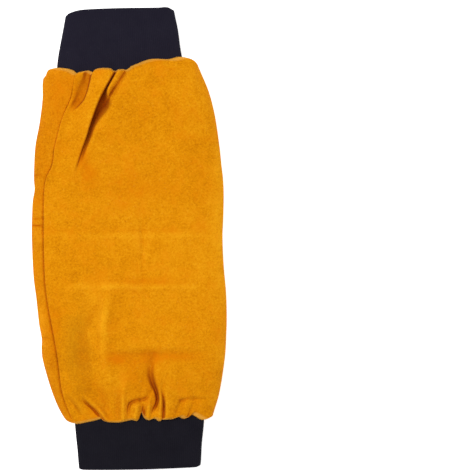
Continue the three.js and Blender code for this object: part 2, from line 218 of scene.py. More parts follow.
def rib_knit_group():
    """Fine rib knit: columns of small V stitches, with lint, slightly uneven dye and a painted highlight on
    raised stitches.
    """
    group, given, result = new_group(
        "fine rib knit",
        [
            ("Yarn", "NodeSocketColor", (0.02, 0.018, 0.03, 1)),
            ("Lint and highlight", "NodeSocketColor", (0.05, 0.047, 0.065, 1)),
            ("Ribs", "NodeSocketFloat", 500.0),
            ("Stitches", "NodeSocketFloat", 800.0),
        ],
        [("Color", "NodeSocketColor"), ("Roughness", "NodeSocketFloat"), ("Height", "NodeSocketFloat")],
    )
    cloth = add_node(group, "ShaderNodeUVMap", uv_map="cloth").outputs[0]
    split = add_node(group, "ShaderNodeSeparateXYZ", {0: cloth})
    turn = 2 * math.pi
    rib_place = calculate(group, "MULTIPLY", split.outputs[0], given.outputs["Ribs"])
    rib = calculate(group, "COSINE", calculate(group, "MULTIPLY", rib_place, turn))
    # Each stitch slants away from the middle of its rib, so rows of stitches make small Vs.
    from_middle = calculate(group, "PINGPONG", rib_place, 0.5)
    stitch_place = calculate(group, "MULTIPLY", split.outputs[1], given.outputs["Stitches"])
    slanted = calculate(group, "ADD", stitch_place, calculate(group, "MULTIPLY", from_middle, 1.4))
    stitch = calculate(group, "SINE", calculate(group, "MULTIPLY", slanted, turn))
    position = add_node(group, "ShaderNodeTexCoord").outputs["Object"]
    fuzz = noise(group, position, scale=2600.0, detail=2.0)
    dye = noise(group, position, scale=60.0)
    spots = noise(group, position, scale=420.0, detail=4.0, roughness=0.7)
    lint = ramp(group, spots, low=0.56, high=0.78)
    mottled = calculate(group, "MULTIPLY_ADD", dye, 0.5, calculate(group, "MULTIPLY", fuzz, 0.45))
    height = calculate(group, "MULTIPLY_ADD", stitch, 0.18, fuzz)
    height = calculate(group, "MULTIPLY_ADD", rib, 0.32, height)
    # Painted highlight: raised ribs and stitches mix further towards the lint colour, along with the dye.
    lit = calculate(group, "MULTIPLY_ADD", height, 0.16, calculate(group, "SUBTRACT", mottled, 0.25))
    share = calculate(group, "MULTIPLY_ADD", lint, 0.3, calculate(group, "MULTIPLY", lit, 0.75))
    color = blend_colors(group, share, given.outputs["Yarn"], given.outputs["Lint and highlight"])
    group.links.new(color, result.inputs["Color"])
    group.links.new(calculate(group, "MULTIPLY_ADD", fuzz, 0.15, 0.8), result.inputs["Roughness"])
    group.links.new(height, result.inputs["Height"])
    return group


def knit_material(name, yarn, lint):
    """Matt knit cloth with the faint sheen of its fibre ends."""
    material = bpy.data.materials.new(name)
    material.use_nodes = True
    tree = material.node_tree
    shader = tree.nodes["Principled BSDF"]
    knit = add_node(tree, "ShaderNodeGroup", node_tree=rib_knit)
    knit.inputs["Yarn"].default_value = yarn
    # The lint colour also serves as the painted highlight on raised stitches.
    knit.inputs["Lint and highlight"].default_value = lint
    knit.inputs["Ribs"].default_value = 1 / rib_pitch
    knit.inputs["Stitches"].default_value = 1 / stitch_pitch
    stitches = {"Height": knit.outputs["Height"], "Distance": 0.16 * mm, "Strength": 0.6}
    bump = add_node(tree, "ShaderNodeBump", stitches)
    tree.links.new(knit.outputs["Color"], shader.inputs["Base Color"])
    tree.links.new(knit.outputs["Roughness"], shader.inputs["Roughness"])
    tree.links.new(bump.outputs[0], shader.inputs["Normal"])
    shader.inputs["Specular IOR Level"].default_value = 0.05
    shader.inputs["Sheen Weight"].default_value = 0.03
    shader.inputs["Sheen Roughness"].default_value = 0.5
    shader.inputs["Sheen Tint"].default_value = (0.75, 0.75, 0.9, 1)
    return material


def knit_cuff(name, cuff, fold, seam_y, direction, seed):
    """The folded tube of one cuff, from its outer raw edge over the fold to its inner one."""
    dense = np.linspace(0, 4, 4001)
    across, height = flattened_ring(cuff_section(cuff, 0.0), dense)
    length = np.concatenate([[0], np.cumsum(np.hypot(np.diff(across), np.diff(height)))])
    ribs = round(length[-1] / rib_pitch)
    place = np.linspace(0, 1, rib_columns * ribs + 1)
    turn = np.interp(place * length[-1], length, dense)[::direction]
    end_across = flattened_ring(cuff_section(cuff, cuff["length"]), turn)[0] - cuff["shift"]
    bend = cuff_wall / 2
    free = cuff["length"] - smooth(fold, end_across / (cuff["end"] / 2)) * mm - bend
    outer = np.linspace(0, 1, cloth_rows)
    fold_angle = np.linspace(0, np.pi, fold_rows)[1:-1]
    outward = np.concatenate(
        [
            -cuff_tuck + np.outer(outer, free + cuff_tuck),
            free + bend * np.sin(fold_angle)[:, None],
            -cuff_tuck + np.outer(outer[::-1], free + cuff_tuck),
        ]
    )
    inset = np.concatenate([0 * outer, bend * (1 - np.cos(fold_angle)), 0 * outer + cuff_wall])[:, None]
    rib = rib_height * np.cos(2 * np.pi * ribs * place)
    sag = cuff_sag["depth"] * ripples(turn * cuff_quarter, outward, cuff_sag["wavelength"], seed)
    shown = np.clip(outward / cuff_sag["starts_over"], 0, 1)
    x, z = flattened_ring(cuff_section(cuff, outward, -inset + rib + sag * shown), turn)
    points = np.stack([x, seam_y + direction * outward, z], axis=-1)
    points[..., 2] = np.maximum(points[..., 2], 0.1 * mm)
    points[:, -1] = points[:, 0]
    passed = np.abs(np.diff(outward[:, 0])) + np.diff(inset[:, 0]) ** 2
    along_cloth = np.cumsum(np.concatenate([[0], passed]))
    uv = np.stack(np.broadcast_arrays(place * ribs * rib_pitch, along_cloth[:, None]), axis=-1)
    piece = cloth_grid(name, points, uv, closed=True)
    give_thickness(piece, cuff_cloth)
    return piece, ribs * rib_pitch, 2 * (cuff["length"] + cuff_tuck)


rib_knit = rib_knit_group()
arm_knit, girth, cut_length = knit_cuff(
    "arm_knit_cuff", arm_cuff, arm_cuff_fold, arm_seam_y, direction=1, seed=11
)
arm_knit.data.materials.append(knit_material("navy_rib_knit", navy_yarn, navy_lint_and_highlight))
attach(arm_knit, "root")
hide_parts("arm_cuff")

wrist_knit, girth, cut_length = knit_cuff(
    "wrist_knit_cuff", wrist_cuff, wrist_cuff_fold, wrist_seam_y, direction=-1, seed=12
)
wrist_knit.data.materials.append(knit_material("dark_navy_rib_knit", dark_navy_yarn, dark_navy_lint_and_highlight))
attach(wrist_knit, "root")
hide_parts("wrist_cuff")

# Front panel
# The large piece of split suede that shows, from the long seam over the top and round the right side to a
# second seam underneath. Each end's raw edge is turned under, gathered and sewn round a cuff, so pleats at
# the arm and gathers at the wrist take up its extra width.
leather_length = 353.5 * mm
leather_thickness = 1.3 * mm
side_height = 11 * mm
edge_round = 3.6 * mm
edge_bend = 1.2 * mm
edge_rows = 7
seat_depth = 7 * mm  # how far the turned edge reaches in along the cuff
seat_shares = [1, 0.6, 0.3, 0.08]
double_layer_fade = 3 * mm
knit_fall = 0.8  # how steeply the leather may drop beyond the cuff's tucked end
sewing_gap = 0.5 * mm
seam_gap = 0.4 * mm
seam_allowance = 6 * mm
allowance_rows = (1, 0.55, 0.18)
least_allowance = 0.15  # at the gathered ends, as a share
least_seam_inset = 1.5 * mm
back_seam_inset = 18 * mm
sway_reach = 60 * mm
undercut = 0.12  # how far a hollow runs in under the leather at its left, for its depth
undercut_from = 1 * mm
# The front's turned edge stands a step above the strip, and both edges dip sharply into the seam.
step_reach = 5 * mm
dip_reach = 0.85 * mm
dip_sharpness = 1.4
hidden_dip = 0.8 * mm  # at the seam underneath
# How many columns each mesh has, what share of them is kept underneath, and how they crowd at the seams.
front_columns = 210
back_columns = 150
kept_underneath = 0.45
crowding = 2
crowding_reach = 3 * mm
# How far apart each mesh's rows are at places along the sleeve, closer where the leather is gathered.
front_rows = [
    (-181, 1.0), (-150, 1.1), (-122, 2.0), (-95, 2.8), (40, 2.8), (75, 1.8), (110, 1.35), (172, 1.2),
]
# The back has this many gathers at each end.
back_gathers = {"arm": 7, "wrist": 9, "height": 3 * mm, "reach": 42 * mm}
# The front's edges have small puckers, and all of its leather is uneven: height and wavelength in
# millimetres, and the seed of the random waves.
small_puckers = (0.55, 8, 6)
pucker_reach = 26 * mm
pucker_stretch = 0.3
unevenness = [(0.45, 34, 3), (0.16, 11, 4), (0.05, 4.5, 5)]
# Outlines, crown and seam in millimetres, as (y, x) or (y, z).
left_outline = [
    (-183.5, -60.5), (-177.5, -65.1), (-167.5, -70.6), (-155.5, -75.6), (-140.5, -80.6), (-118.5, -86.4),
    (-107.5, -87.1), (-101.5, -86.8), (-95.5, -87.6), (-86.5, -89.4), (-77.5, -90.5), (-59.5, -92.4),
    (-38.5, -95.1), (2.5, -96.9), (30.5, -96.4), (39.5, -95.7), (48.5, -94.1), (57.5, -94.7), (66.5, -94.7),
    (91.5, -93.4), (114.5, -89.2), (138.5, -86.2), (158.5, -85.6), (166.5, -81.4),
]
right_outline = [
    (-179.5, 83.3), (-175.5, 83.7), (-154.5, 89.8), (-118.5, 95.5), (-90.5, 97.1), (-75.5, 97.3),
    (-54.5, 96.7), (-25.5, 94.2), (2.5, 93.1), (16.5, 93.7), (41.5, 94.3), (58.5, 93.7), (74.5, 91.9),
    (88.5, 90.5), (121.5, 85.7), (145.5, 79.7), (165.5, 71.5), (174.5, 67.4), (179.9, 64.2),
]
crown_line = [
    (-181, 24.2), (-174, 24.8), (-160, 26.7), (-139, 30.1), (-117, 31.0), (-89, 28.8), (-61, 26.4),
    (-29, 24.8), (3, 24.2), (38, 24.8), (66, 26.7), (91, 28.8), (116, 30.4), (141, 30.4), (162, 28.5),
    (172.5, 26.7),
]
seam_line = [
    (-183.5, -54.8), (-172.5, -60.2), (-155.5, -66.4), (-141.5, -68.8), (-127.5, -70.2), (-111.5, -72.5),
    (-82.5, -78.1), (-57.5, -82.5), (-35.5, -84.5), (2.5, -85.4), (31.5, -85.2), (49.5, -84.2),
    (61.5, -81.5), (69.5, -77.2), (78, -74.8), (88, -73.8), (99.5, -71.0), (112.5, -67.6), (122.5, -63.9),
    (132.5, -59.6), (141.5, -56.4), (155.5, -54.0), (166.5, -52.2),
]
# How far the gathered edges stray from the cuff seams, towards +Y, at places across the sleeve, in
# millimetres. The edges are drawn in towards the cuffs, so the outermost places show further in.
arm_edge_front = [
    (-83, -8.6), (-80.9, -4.4), (-71.6, -3.8), (-61.6, -5.8), (-57, -8.9), (-53.8, -9.2), (-51, -7.8),
    (-43.5, -6.0), (-39, -7.4), (-37.3, -8.4), (-34.5, -4.7), (-29, -3.3), (-22, -3.3), (-17.5, -3.8),
    (-13.6, -6.2), (-9, -4.6), (-4, -4.4), (-0.4, -5.0), (5.5, -1.4), (12, 1.0), (19.8, 3.8), (28, 5.8),
    (38.4, 6.1), (46, 5.6), (54, 6.9), (61, 8.9), (66, 6.6), (69, 0.2),
]
arm_edge_back = [(-83, -0.9), (-54, -1.0), (-36, 1.2), (-14, 2.0), (8, 2.2), (40, 4.4), (62, 6.6)]
wrist_edge_front = [
    (-58.8, -3.6), (-55.5, -3.7), (-46, -1.6), (-34.9, 0.9), (-29.2, 2.2), (-26.5, 0.0), (-22, -1.3),
    (-15, -1.7), (-8.1, -1.4), (3.1, 0.8), (9.9, 0.4), (13.4, 8.0), (16.6, 3.2), (21.4, 0.6), (27.6, 2.2),
    (33.2, -0.4), (34.4, 0.9), (38.8, 1.2), (46.6, 1.7), (54.0, 4.2), (60.0, 2.2), (66.0, 7.6), (71.0, 6.2),
    (80.0, 0.6), (83.5, 2.8),
]
wrist_edge_back = [(-58, -1.8), (-24, -1.2), (-4, 0.8), (12, -0.8), (36, -0.6), (54, 0.8), (82, 0.9)]
# Folds of the leather that show from above. Each has a sharpness, 1 for a crease and 2 for a soft roll, and
# the places that its line runs through, from below upwards or from left to right: x, y, how high, and how
# wide to its left and to its right, in millimetres.
folds = {
    "valley beside the long seam": (2.6, [
        (-64.0, 125.0, 0.0, 4.0, 3.0), (-59.5, 128.0, -1.8, 5.0, 1.8), (-52.5, 132.5, -4.4, 7.0, 1.4),
        (-46.6, 138.8, -6.0, 8.5, 1.2), (-43.2, 146.8, -6.8, 8.5, 1.2), (-40.8, 156.5, -6.8, 7.5, 1.2),
        (-38.6, 168.0, -6.0, 6.5, 1.2)]),
    "big pleat": (2.4, [
        (-57.0, 69.0, 0.6, 8.0, 5.0), (-50.0, 88.5, 2.6, 9.0, 6.0), (-44.5, 103.5, 4.2, 10.0, 7.0),
        (-38.0, 123.5, 5.6, 11.0, 7.0), (-33.0, 137.0, 6.2, 11.0, 7.0), (-27.5, 149.0, 6.2, 12.0, 6.0),
        (-22.0, 158.5, 6.0, 13.0, 6.0), (-17.5, 167.0, 5.5, 13.0, 6.0)]),
    "deep valley": (2.2, [
        (-53.5, 67.0, -1.0, 1.2, 3.0), (-47.2, 87.0, -6.5, 0.9, 2.8), (-41.8, 102.0, -11.5, 0.8, 3.2),
        (-38.6, 112.5, -14.0, 0.8, 3.6), (-35.0, 123.0, -17.0, 0.8, 5.2), (-31.0, 133.5, -18.0, 0.8, 7.6),
        (-28.0, 140.5, -17.0, 0.8, 6.2), (-24.0, 148.5, -13.0, 0.8, 1.6), (-18.6, 158.5, -10.5, 0.8, 1.2),
        (-13.6, 167.5, -9.0, 0.8, 1.2)]),
    "narrow ridge": (2.0, [
        (-22.5, 143.0, 0.5, 2.2, 2.2), (-18.5, 150.0, 1.4, 2.6, 2.4), (-14.0, 158.0, 1.8, 3.2, 2.8),
        (-9.0, 167.0, 1.6, 4.0, 3.2)]),
    "thin valley": (1.3, [
        (-24.5, 133.0, -2.6, 2.0, 1.6), (-20.0, 141.5, -4.0, 1.5, 1.0), (-15.0, 149.5, -3.8, 1.3, 0.8),
        (-9.4, 158.0, -3.2, 1.2, 0.8), (-3.4, 168.0, -2.8, 1.2, 0.8)]),
    "rounded edge of the front": (1.8, [
        (-25.5, 116.0, 0.6, 3.0, 12.0), (-18.0, 132.5, 2.6, 2.6, 12.0), (-10.6, 147.0, 3.2, 2.4, 13.0),
        (-3.6, 158.5, 3.2, 2.4, 14.0), (3.0, 168.5, 2.8, 2.8, 14.0)]),
    "dimple under the valley": (1.8, [(-47.5, 58.5, -1.4, 6.0, 5.0), (-44.5, 71.0, -2.2, 5.0, 6.0)]),
    "strip's upper crease": (1.6, [
        (-89.0, 134.0, -0.8, 1.4, 2.6), (-81.0, 139.5, -1.8, 1.4, 2.8), (-73.0, 146.5, -0.8, 1.4, 2.8)]),
    "left gather": (1.4, [
        (-47.0, -178.0, -1.2, 1.6, 1.3), (-55.0, -168.0, -2.4, 1.7, 1.3), (-64.0, -157.0, -0.9, 2.4, 1.6)]),
    "its soft crest": (2.0, [
        (-44.5, -174.5, 1.6, 2.6, 4.0), (-51.5, -165.0, 1.8, 2.6, 4.0), (-60.0, -155.0, 0.6, 2.6, 4.0)]),
    "strong left gather": (1.4, [
        (-24.5, -184.5, -4.0, 1.1, 0.9), (-29.0, -179.0, -4.4, 1.1, 0.9), (-36.2, -171.5, -4.4, 1.1, 0.9),
        (-43.8, -164.5, -3.0, 1.2, 1.0), (-48.6, -160.5, -0.8, 1.5, 1.2)]),
    "its crest": (2.0, [
        (-21.5, -183.0, 3.6, 1.7, 3.6), (-26.5, -176.5, 4.4, 1.7, 3.6), (-33.8, -168.5, 4.2, 1.7, 3.6),
        (-41.4, -161.5, 2.6, 2.0, 3.6), (-46.6, -157.0, 0.8, 2.2, 4.0)]),
    "hollow behind the crest": (2.0, [
        (-21.5, -176.0, -1.6, 4.0, 3.6), (-25.0, -165.0, -2.6, 4.5, 4.0), (-30.0, -151.0, -0.6, 5.0, 4.5)]),
    "soft hollow": (1.9, [
        (-11.5, -180.5, -2.4, 3.0, 2.0), (-12.0, -166.0, -2.4, 3.2, 2.0), (-10.5, -151.0, -0.6, 4.5, 2.8)]),
    "crest beside it": (2.0, [
        (-6.4, -181.0, 2.0, 2.2, 2.8), (-6.6, -165.0, 2.4, 2.2, 2.8), (-6.0, -152.0, 1.6, 2.4, 3.0),
        (-3.5, -142.0, 0.4, 3.0, 3.5)]),
    "curl": (1.5, [
        (-0.6, -181.0, -0.8, 2.0, 1.8), (-1.0, -173.0, -2.6, 1.8, 1.6), (0.6, -165.5, -4.6, 1.8, 1.7),
        (6.5, -162.5, -4.4, 1.9, 1.7), (13.5, -161.5, -3.8, 2.0, 1.7), (19.5, -157.5, -2.8, 2.2, 1.8),
        (22.5, -152.0, -1.4, 2.4, 2.0)]),
    "knob": (2.0, [(6.0, -178.5, 3.4, 3.2, 3.0), (7.6, -169.5, 4.6, 3.6, 3.6)]),
    "notch": (1.3, [
        (13.6, -181.5, -10.0, 1.5, 1.5), (13.9, -174.0, -7.0, 1.3, 1.3), (14.1, -166.5, -1.0, 1.4, 1.4)]),
    "crest after the notch": (2.0, [
        (18.0, -180.5, 3.0, 3.0, 2.6), (19.0, -170.0, 3.4, 3.0, 2.6), (20.4, -158.0, 1.8, 2.4, 2.2)]),
    "long crease": (1.5, [
        (21.4, -179.0, -0.5, 1.6, 1.4), (24.0, -172.0, -3.0, 1.6, 1.3), (27.2, -166.0, -6.0, 1.6, 1.0),
        (28.4, -160.0, -7.0, 1.8, 1.0), (26.8, -152.5, -7.0, 2.0, 1.4), (23.8, -145.0, -6.5, 2.8, 2.2),
        (21.6, -137.0, -5.5, 3.6, 2.8), (21.8, -128.0, -3.8, 4.6, 3.4), (23.2, -119.5, -1.8, 5.0, 4.0),
        (23.4, -112.5, -0.4, 5.0, 4.8)]),
    "crest right of it": (2.0, [
        (29.8, -180.0, 1.6, 2.2, 2.0), (31.2, -165.0, 2.8, 1.7, 1.7), (30.6, -151.5, 2.2, 2.0, 2.2),
        (28.4, -139.0, 1.6, 3.6, 5.0), (28.0, -128.0, 0.8, 4.0, 6.0)]),
    "thin crease": (1.3, [
        (33.8, -181.0, -5.5, 0.9, 0.8), (34.6, -166.0, -5.0, 0.9, 0.8), (33.4, -156.0, -2.6, 1.0, 0.9),
        (31.6, -150.5, -0.6, 1.3, 1.1)]),
    "crest of the right part": (2.0, [
        (37.0, -181.0, 2.8, 1.7, 8.0), (37.4, -166.5, 3.2, 1.7, 8.0), (35.6, -151.5, 1.2, 2.2, 9.0)]),
    "small pucker": (1.7, [(46.8, -173.0, -1.8, 2.2, 2.8), (52.5, -162.5, -2.2, 2.4, 2.8)]),
    "pucker at the edge": (1.4, [
        (58.2, -181.5, -4.2, 1.8, 2.2), (60.8, -173.0, -3.2, 1.8, 2.2), (62.8, -166.5, -0.8, 2.0, 2.4)]),
    "last pucker": (1.4, [(65.6, -181.0, -4.6, 1.8, 2.2), (67.0, -175.0, -2.2, 2.0, 2.4)]),
    "cross crease at the wrist": (1.6, [
        (46.5, -162.5, -1.0, 1.6, 2.6), (60.0, -160.8, -2.8, 1.6, 2.8), (78.0, -160.6, -1.4, 1.6, 2.8)]),
    "pressed line": (1.6, [
        (-59.5, 4.5, 0.2, 2.0, 2.2), (-20.0, 4.0, 1.0, 1.6, 2.6), (74.0, 4.5, 0.5, 1.6, 2.6)]),
    "second pressed line": (1.6, [
        (-64.5, -45.5, 0.3, 2.4, 2.0), (-36.0, -48.0, 1.3, 2.6, 1.6), (20.0, -49.5, 1.2, 2.8, 1.6),
        (74.0, -47.5, 0.4, 3.0, 2.0)]),
    "arch": (1.6, [
        (-35.0, -60.5, 0.6, 2.6, 2.0), (-26.5, -49.0, 1.6, 2.6, 2.0), (-16.5, -45.0, 2.0, 2.6, 2.0),
        (-5.5, -45.3, 2.0, 2.6, 2.0), (5.5, -49.5, 1.8, 2.6, 2.0), (13.5, -61.5, 0.8, 2.6, 2.0)]),
    "standing ridge": (2.0, [
        (-17.5, -149.5, 0.8, 5.0, 8.0), (-25.5, -121.5, 2.4, 4.5, 8.0), (-27.3, -96.5, 3.4, 4.2, 9.0),
        (-25.3, -71.5, 3.4, 4.2, 9.0), (-21.5, -52.0, 2.0, 4.5, 7.0)]),
    "broad hollow left of it": (2.0, [
        (-27.5, -160.0, -1.0, 9.0, 7.0), (-41.0, -136.5, -3.2, 13.0, 9.0), (-46.5, -111.5, -4.0, 13.0, 9.5),
        (-41.5, -86.5, -3.2, 12.0, 8.0), (-33.0, -63.0, -1.0, 8.0, 6.0)]),
    "sagging step": (1.7, [
        (-22.0, -114.5, -0.8, 2.0, 8.0), (5.0, -114.0, -2.6, 2.0, 9.0), (40.0, -113.0, -2.2, 2.0, 9.0),
        (76.0, -112.0, -0.8, 2.4, 9.0)]),
    "upright line": (1.8, [
        (13.0, -46.0, -0.5, 1.6, 3.0), (12.5, 2.0, -1.1, 1.6, 3.4), (11.5, 37.0, -0.4, 2.2, 4.0)]),
    "right rub line": (1.5, [
        (15.5, -34.5, 0.3, 1.0, 2.2), (34.0, -27.5, 0.9, 1.1, 2.2), (53.0, -20.0, 0.3, 1.1, 2.2)]),
    "left rub line": (1.5, [
        (-57.5, -26.5, 0.15, 1.0, 2.0), (-46.0, -20.5, 0.45, 1.1, 2.0), (-34.5, -14.5, 0.15, 1.1, 2.0)]),
    "strip crease": (1.3, [
        (-97.0, 13.5, -3.0, 1.1, 1.2), (-91.0, 12.6, -3.6, 1.1, 1.2), (-86.0, 12.0, -2.0, 1.1, 1.2)]),
    "upper strip crease": (1.3, [(-97.0, 19.5, -2.0, 1.2, 1.2), (-86.5, 20.0, -2.2, 1.2, 1.2)]),
    "highest strip crease": (1.3, [(-95.5, 64.5, -1.6, 1.3, 1.4), (-85.0, 61.5, -1.6, 1.3, 1.4)]),
    "dent in the left outline": (1.6, [(-97.0, 49.0, -1.2, 2.0, 2.6), (-87.0, 47.0, -0.6, 2.0, 2.6)]),
    "lowest strip crease": (1.3, [(-90.5, -99.5, -1.9, 1.2, 1.4), (-77.0, -98.5, -0.8, 1.2, 1.4)]),
}
# Patches on the nap, mostly painted shade in hollows, creases and under edges and painted light on crests
# and lit sides, with some tone of its own: x, y, reach across and along in millimetres, how much darker
# and how much warmer, where below 0 is paler or greener.
shade_and_tone_patches = {
    "leather along the seam": (-73.0, -82.0, 8.0, 36.0, 0.35, 0.1),
    "shaded side of the hollow": (-50.0, -108.0, 14.0, 44.0, 0.28, -0.42),
    "foot of the hollow": (-41.0, -150.0, 11.0, 11.0, 0.45, 0.0),
    "crest of the standing ridge": (-24.0, -86.0, 5.0, 28.0, -0.65, -0.1),
    "valley beside the seam": (-52.0, 141.0, 6.5, 17.0, 0.30, 0.35),
    "shade under the deep valley": (-44.0, 80.0, 6.0, 14.0, 0.20, 0.55),
    "its lower end": (-37.0, 64.0, 8.0, 8.0, 0.20, 0.45),
    "darker patch above the line": (8.0, 50.0, 38.0, 15.0, 0.25, 0.25),
    "left shade under the step": (-11.0, -119.0, 13.0, 6.0, 0.45, 0.7),
    "shade above the long crease": (21.0, -119.0, 8.0, 7.0, 0.40, 0.6),
    "right shade under the step": (52.0, -117.0, 20.0, 4.5, 0.35, 0.5),
    "left of the long crease": (8.0, -138.0, 9.0, 24.0, 0.45, 0.1),
    "beside the long crease": (24.0, -145.0, 9.0, 17.0, 0.45, 0.3),
    "between ridge and long crease": (-15.0, -138.0, 14.0, 10.0, -0.35, 0.0),
    "right puckers": (62.0, -170.0, 20.0, 9.0, 0.35, 0.1),
    "sunny side of the hollow": (-38.0, -82.0, 9.0, 20.0, -0.40, 0.0),
    "light part of the strip": (-88.0, -86.0, 7.0, 22.0, -0.45, 0.0),
    "under it, at the seam": (-72.0, -121.0, 8.0, 9.0, 0.35, 0.0),
    "wrist end": (20.0, -160.0, 75.0, 28.0, 0.10, 0.0),
    "arm end": (20.0, 105.0, 75.0, 50.0, 0.04, 0.0),
    "paler middle": (10.0, 5.0, 75.0, 40.0, -0.20, 0.0),
    "light pressed line": (5.0, 3.0, 70.0, 1.8, -0.55, 0.0),
    "dark side of the line": (5.0, 8.0, 70.0, 3.0, 0.10, 0.15),
    "second light line": (-10.0, -47.5, 55.0, 2.0, -0.60, 0.0),
    "warm side of the second line": (20.0, -42.5, 32.0, 3.5, 0.05, 0.45),
    "lighter right side": (97.0, 20.0, 13.0, 120.0, -0.70, 0.0),
    "strip's outer half": (-90.0, 108.0, 6.0, 36.0, 0.25, 0.0),
    "strip beside the seam": (-71.0, 143.0, 9.0, 30.0, 0.10, 0.35),
    "strip under its dent": (-88.0, 40.0, 8.0, 10.0, 0.30, 0.1),
    "shade in the strip's crease": (-92.0, 12.8, 6.0, 0.9, 1.10, 0.6),
    "shade above it": (-91.0, 19.8, 5.0, 0.8, 0.70, 0.4),
    "shade at the highest crease": (-90.0, 63.0, 5.0, 0.9, 0.60, 0.3),
    "shade at the lowest crease": (-85.0, -99.0, 6.0, 0.9, 0.60, 0.3),
}
# The folds' places are as the camera sees them from above a point at the sleeve's right, given in
# millimetres, which spreads what stands up from the table. They are brought back towards that point.
seen_from = np.array([105.5, 3.5])
spread = 1.0104
golden = (0.69, 0.243, 0.001, 1)
golden_dark = (0.5, 0.15, 0.0, 1)
golden_light = (0.82, 0.345, 0.006, 1)


def smooth_line(points, steps):
    """The points of a line again, with more between them on a smooth curve."""
    points = np.array(points, float)
    place = np.arange(len(points))
    at = np.linspace(0, len(points) - 1, (len(points) - 1) * steps + 1)
    return np.stack([smooth(np.stack([place, column], axis=1), at) for column in points.T], axis=1)


def fold_height(x, y):
    """Height that all folds together add at places seen from above."""
    shape = np.broadcast(x, y).shape
    x, y = (np.broadcast_to(value, shape).ravel() for value in (x, y))
    total = np.zeros(x.size)
    for sharpness, rows in folds.values():
        line = smooth_line(rows, 5)
        line[:, :2] = seen_from + (line[:, :2] - seen_from) / spread
        line = line * mm
        reach = 4.5 * line[:, 3:].max()
        low, high = line[:, :2].min(axis=0) - reach, line[:, :2].max(axis=0) + reach
        near = np.flatnonzero((x > low[0]) & (x < high[0]) & (y > low[1]) & (y < high[1]))
        nearest = np.full(near.size, np.inf)
        lift = np.zeros(near.size)
        for start, end in zip(line[:-1], line[1:]):
            step = end[:2] - start[:2]
            off_x, off_y = x[near] - start[0], y[near] - start[1]
            share = np.clip((off_x * step[0] + off_y * step[1]) / (step @ step), 0, 1)
            side_x, side_y = off_x - share * step[0], off_y - share * step[1]
            distance = np.hypot(side_x, side_y)
            height, left, right = (start[k] + share * (end[k] - start[k]) for k in (2, 3, 4))
            width = np.where(step[0] * side_y - step[1] * side_x > 0, left, right)
            here = height * np.exp(-((distance / width) ** sharpness))
            lift = np.where(distance < nearest, here, lift)
            nearest = np.minimum(nearest, distance)
        total[near] += lift
    return total.reshape(shape)


def fade_out(distance, reach):
    """1 at no distance, falling smoothly to 0 at the reach."""
    t = np.clip(distance / reach, 0, 1)
    return 1 - t * t * (3 - 2 * t)


def edge_sway(x, front_share, along):
    """How far the leather at a place is pushed along Y by the wavy gathered edges."""
    total = 0
    for distance, front, back in (
        (along * leather_length, wrist_edge_front, wrist_edge_back),
        ((1 - along) * leather_length, arm_edge_front, arm_edge_back),
    ):
        front_sway, back_sway = smooth(front, x / mm), smooth(back, x / mm)
        sway = back_sway + (front_sway - back_sway) * front_share
        total = total + sway * fade_out(distance, sway_reach)
    return total * mm


def leather_section(along):
    """Left, right, side height, crown and base of the leather tube."""
    y = wrist_seam_y + along * leather_length
    sides = []
    for outline in (left_outline, right_outline):
        x = smooth(outline, y / mm) * mm
        sides.append(smooth(outline, (y + edge_sway(x, 0.5, along)) / mm) * mm)
    return sides[0], sides[1], side_height, smooth(crown_line, y / mm) * mm, 0.0


def nearest_cuff(along):
    """Measures of the cuff at the nearer end, for each row."""
    return {key: np.where(along < 0.5, wrist_cuff[key], arm_cuff[key]) for key in arm_cuff}


def leather_points(turn, along, depth):
    """Points on the outside of the leather, and the height that its folds add there.

    Rows with a depth lie on the cuff, under the turned edge.
    """
    lower = np.mod(turn, 4) > 2
    facing = np.sin(np.pi / 2 * np.where(lower, np.mod(turn, 4) - 2, np.mod(turn, 4)))
    front_share = (1 + np.where(lower, -facing, facing)) / 2
    x, z = flattened_ring(leather_section(along), turn)
    y = wrist_seam_y + along * leather_length + edge_sway(x, front_share, along)
    from_wrist, from_arm = along * leather_length, (1 - along) * leather_length
    from_edge = np.minimum(from_wrist, from_arm)
    gathers = np.zeros_like(x)
    for end, distance in (("wrist", from_wrist), ("arm", from_arm)):
        wave = (1 - np.cos(np.pi * back_gathers[end] * (np.mod(turn, 4) - 2))) / 2
        gathers += back_gathers["height"] * wave * np.clip(1 - distance / back_gathers["reach"], 0, 1) ** 2
    rumple = sum(height * ripples(x, y, wavelength * mm, seed) for height, wavelength, seed in unevenness)
    height, wavelength, seed = small_puckers
    puckers = height * ripples(x, y * pucker_stretch, wavelength * mm, seed)
    puckers = puckers * fade_out(from_edge, pucker_reach)
    relief = np.where(lower, 0, fold_height(x, y) + (rumple + puckers) * mm)
    z = z + facing * np.where(lower, gathers, relief)
    x = x - undercut * facing * np.maximum(0, -relief - undercut_from)

    cuff = nearest_cuff(along)
    outward = np.where(along < 0.5, wrist_seam_y - y, y - arm_seam_y)
    left, right, side, crown, base = cuff_section(cuff, outward)
    layers = 1 + fade_out(np.maximum(0, from_edge - seat_depth), double_layer_fade)
    crown = crown + sewing_gap + layers * leather_thickness + edge_bend / 2
    fall = knit_fall * np.maximum(0, from_edge - cuff_tuck)
    knit_top = flattened_ring((left, right, side, crown, base), turn)[1] - fall
    z = np.where(lower, z, (z + knit_top + np.hypot(z - knit_top, edge_bend)) / 2)

    inward = np.where(along < 0.5, 1, -1) * depth
    seat_x, seat_z = flattened_ring(cuff_section(cuff, outward - depth, sewing_gap), turn)
    roll = np.sqrt(1 - np.maximum(0, 1 - from_edge / edge_round) ** 2)
    x, z = seat_x + (x - seat_x) * roll, seat_z + (z - seat_z) * roll
    return np.stack(np.broadcast_arrays(x, y + inward, z), axis=-1), relief


